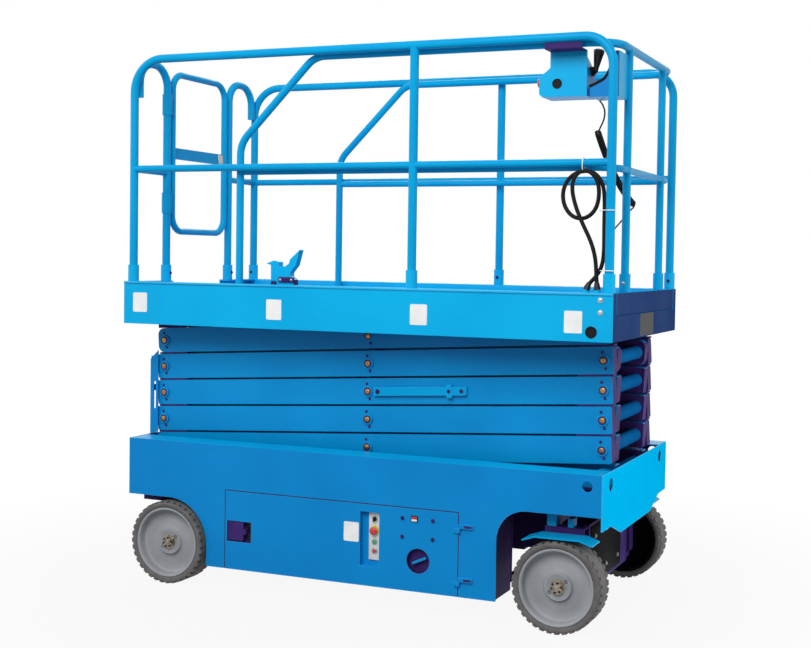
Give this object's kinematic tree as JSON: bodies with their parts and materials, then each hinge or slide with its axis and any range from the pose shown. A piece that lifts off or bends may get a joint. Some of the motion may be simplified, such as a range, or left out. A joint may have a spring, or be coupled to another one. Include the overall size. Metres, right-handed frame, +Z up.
{
  "type": "self-propelled scissor lift",
  "caption": "Electric slab scissor lift: tub chassis on steered wheels, crossed arms, railed deck that rolls out, swing-out side modules.",
  "frame": {"origin": "on the ground under the centre of the deck", "axes": "+X towards the steered end and the roll-out deck, +Z up, -Y the right side"},
  "size_m": [2.355, 1.174, 2.443],
  "materials": {
    "blue_paint": "gloss",
    "dark_paint": "satin",
    "rim_paint": "satin",
    "tyre": "matte",
    "bronze": "satin",
    "steel": "satin",
    "black_plastic": "matte",
    "cable": "matte",
    "grey_panel": "matte"
  },
  "bodies": {
    "chassis": {"chassis_frame": "dark_paint", "side_skin_r": "blue_paint", "side_skin_l": "blue_paint", "front_plate": "blue_paint", "ladder": "blue_paint", "front_axle": "dark_paint", "rear_hubs": "dark_paint"},
    "module_r": {"door_r": "blue_paint", "tray_r": "dark_paint", "battery_block": "black_plastic", "ground_control": "grey_panel"},
    "module_l": {"door_l": "blue_paint", "tray_l": "dark_paint", "hydraulic_block": "black_plastic"},
    "knuckle_r": {"knuckle_r": "dark_paint"},
    "knuckle_l": {"knuckle_l": "dark_paint"},
    "tie_rod": {"tie_rod": "dark_paint"},
    "lift_barrel": {"lift_barrel": "dark_paint"},
    "lift_rod": {"lift_rod": "steel"},
    "platform": {"deck": "blue_paint", "side_rail_r": "blue_paint", "side_rail_l": "blue_paint", "rear_rails": "blue_paint", "control_box": "blue_paint", "control_levers": "black_plastic", "power_cable": "cable", "control_lead_in": "cable", "control_curl": "cable", "control_lead_out": "cable"},
    "gate": {"gate": "blue_paint"},
    "extension": {"extension_deck": "blue_paint", "extension_rails": "blue_paint", "document_box": "blue_paint", "pedal": "blue_paint"},
    "wheel_rear_r": {"tyre_rear_r": "tyre", "rim_rear_r": "rim_paint"},
    "wheel_rear_l": {"tyre_rear_l": "tyre", "rim_rear_l": "rim_paint"},
    "wheel_front_r": {"tyre_front_r": "tyre", "rim_front_r": "rim_paint"},
    "wheel_front_l": {"tyre_front_l": "tyre", "rim_front_l": "rim_paint"},
    "outer_1": {"outer_arms_1": "blue_paint", "pins_1": "bronze"},
    "inner_1": {"inner_frame_1": "blue_paint"},
    "outer_2": {"outer_arms_2": "blue_paint", "pins_2": "bronze"},
    "inner_2": {"inner_frame_2": "blue_paint"},
    "outer_3": {"outer_arms_3": "blue_paint", "pins_3": "bronze", "safety_prop": "blue_paint"},
    "inner_3": {"inner_frame_3": "blue_paint"},
    "outer_4": {"outer_arms_4": "blue_paint", "pins_4": "bronze"},
    "inner_4": {"inner_frame_4": "blue_paint"},
    "outer_5": {"outer_arms_5": "blue_paint", "pins_5": "bronze"},
    "inner_5": {"inner_frame_5": "blue_paint"}
  },
  "joints": [
    {"name": "wheel_rear_r_spin", "type": "hinge", "parent": "chassis", "child": "wheel_rear_r", "pos_m": [-0.9185, -0.5235, 0.1905], "axis": [0, 1, 0], "continuous": true},
    {"name": "wheel_front_r_spin", "type": "hinge", "parent": "knuckle_r", "child": "wheel_front_r", "pos_m": [0.966, -0.5235, 0.1905], "axis": [0, 1, 0], "continuous": true},
    {"name": "module_r_swing", "type": "hinge", "parent": "chassis", "child": "module_r", "pos_m": [0.5315, -0.566, 0.27], "axis": [0, 0, 1], "range_deg": [0, 90]},
    {"name": "wheel_rear_l_spin", "type": "hinge", "parent": "chassis", "child": "wheel_rear_l", "pos_m": [-0.9185, 0.5235, 0.1905], "axis": [0, 1, 0], "continuous": true},
    {"name": "wheel_front_l_spin", "type": "hinge", "parent": "knuckle_l", "child": "wheel_front_l", "pos_m": [0.966, 0.5235, 0.1905], "axis": [0, 1, 0], "continuous": true},
    {"name": "module_l_swing", "type": "hinge", "parent": "chassis", "child": "module_l", "pos_m": [0.5315, 0.566, 0.27], "axis": [0, 0, -1], "range_deg": [0, 90]},
    {"name": "steer_r", "type": "hinge", "parent": "chassis", "child": "knuckle_r", "pos_m": [0.966, -0.42, 0.27], "axis": [0, 0, 1], "range_deg": [-45, 45]},
    {"name": "steer_l", "type": "hinge", "parent": "chassis", "child": "knuckle_l", "pos_m": [0.966, 0.42, 0.27], "axis": [0, 0, 1], "range_deg": [-45, 45]},
    {"name": "tie_rod_pivot", "type": "hinge", "parent": "knuckle_r", "child": "tie_rod", "pos_m": [0.816, -0.42, 0.182], "axis": [0, 0, 1], "range_deg": [-45, 45]},
    {"name": "lift", "type": "hinge", "parent": "chassis", "child": "outer_1", "pos_m": [-1.104, 0, 0.6039], "axis": [0, -1, 0], "range_deg": [0, 55.2]},
    {"name": "cross_1", "type": "hinge", "parent": "outer_1", "child": "inner_1", "pos_m": [-0.01181, 0, 0.66685], "axis": [0, -1, 0], "range_deg": [-110.4, 0]},
    {"name": "rear_pin_1", "type": "hinge", "parent": "inner_1", "child": "outer_2", "pos_m": [-1.104, 0, 0.7298], "axis": [0, -1, 0], "range_deg": [0, 110.4]},
    {"name": "cross_2", "type": "hinge", "parent": "outer_2", "child": "inner_2", "pos_m": [-0.01181, 0, 0.79275], "axis": [0, -1, 0], "range_deg": [-110.4, 0]},
    {"name": "rear_pin_2", "type": "hinge", "parent": "inner_2", "child": "outer_3", "pos_m": [-1.104, 0, 0.8557], "axis": [0, -1, 0], "range_deg": [0, 110.4]},
    {"name": "cross_3", "type": "hinge", "parent": "outer_3", "child": "inner_3", "pos_m": [-0.01181, 0, 0.91865], "axis": [0, -1, 0], "range_deg": [-110.4, 0]},
    {"name": "rear_pin_3", "type": "hinge", "parent": "inner_3", "child": "outer_4", "pos_m": [-1.104, 0, 0.9816], "axis": [0, -1, 0], "range_deg": [0, 110.4]},
    {"name": "cross_4", "type": "hinge", "parent": "outer_4", "child": "inner_4", "pos_m": [-0.01181, 0, 1.04455], "axis": [0, -1, 0], "range_deg": [-110.4, 0]},
    {"name": "rear_pin_4", "type": "hinge", "parent": "inner_4", "child": "outer_5", "pos_m": [-1.104, 0, 1.1075], "axis": [0, -1, 0], "range_deg": [0, 110.4]},
    {"name": "cross_5", "type": "hinge", "parent": "outer_5", "child": "inner_5", "pos_m": [-0.01181, 0, 1.17045], "axis": [0, -1, 0], "range_deg": [-110.4, 0]},
    {"name": "platform_pin", "type": "hinge", "parent": "inner_5", "child": "platform", "pos_m": [-1.104, 0, 1.2334], "axis": [0, -1, 0], "range_deg": [0, 55.2]},
    {"name": "barrel_pivot", "type": "hinge", "parent": "inner_1", "child": "lift_barrel", "pos_m": [-0.01181, 0, 0.66685], "axis": [0, -1, 0], "range_deg": [0, 126.33]},
    {"name": "rod_slide", "type": "slide", "parent": "lift_barrel", "child": "lift_rod", "axis": [1, 0, 0.0027], "range_m": [0, 0.3341]},
    {"name": "gate_swing", "type": "hinge", "parent": "platform", "child": "gate", "pos_m": [-1.1435, -0.277, 2.02], "axis": [0, 0, -1], "range_deg": [0, 90]},
    {"name": "extension_slide", "type": "slide", "parent": "platform", "child": "extension", "axis": [1, 0, 0], "range_m": [0, 0.9]}
  ],
  "couplings": [
    {"joint": "steer_l", "follows": "steer_r", "ratio": 1},
    {"joint": "tie_rod_pivot", "follows": "steer_r", "ratio": -1},
    {"joint": "cross_1", "follows": "lift", "ratio": -2},
    {"joint": "rear_pin_1", "follows": "lift", "ratio": 2},
    {"joint": "cross_2", "follows": "lift", "ratio": -2},
    {"joint": "rear_pin_2", "follows": "lift", "ratio": 2},
    {"joint": "cross_3", "follows": "lift", "ratio": -2},
    {"joint": "rear_pin_3", "follows": "lift", "ratio": 2},
    {"joint": "cross_4", "follows": "lift", "ratio": -2},
    {"joint": "rear_pin_4", "follows": "lift", "ratio": 2},
    {"joint": "cross_5", "follows": "lift", "ratio": -2},
    {"joint": "platform_pin", "follows": "lift", "ratio": 1},
    {"joint": "barrel_pivot", "follows": "lift", "ratio": 2.2883},
    {"joint": "rod_slide", "follows": "lift", "m_per_rad": 0.34666}
  ]
}
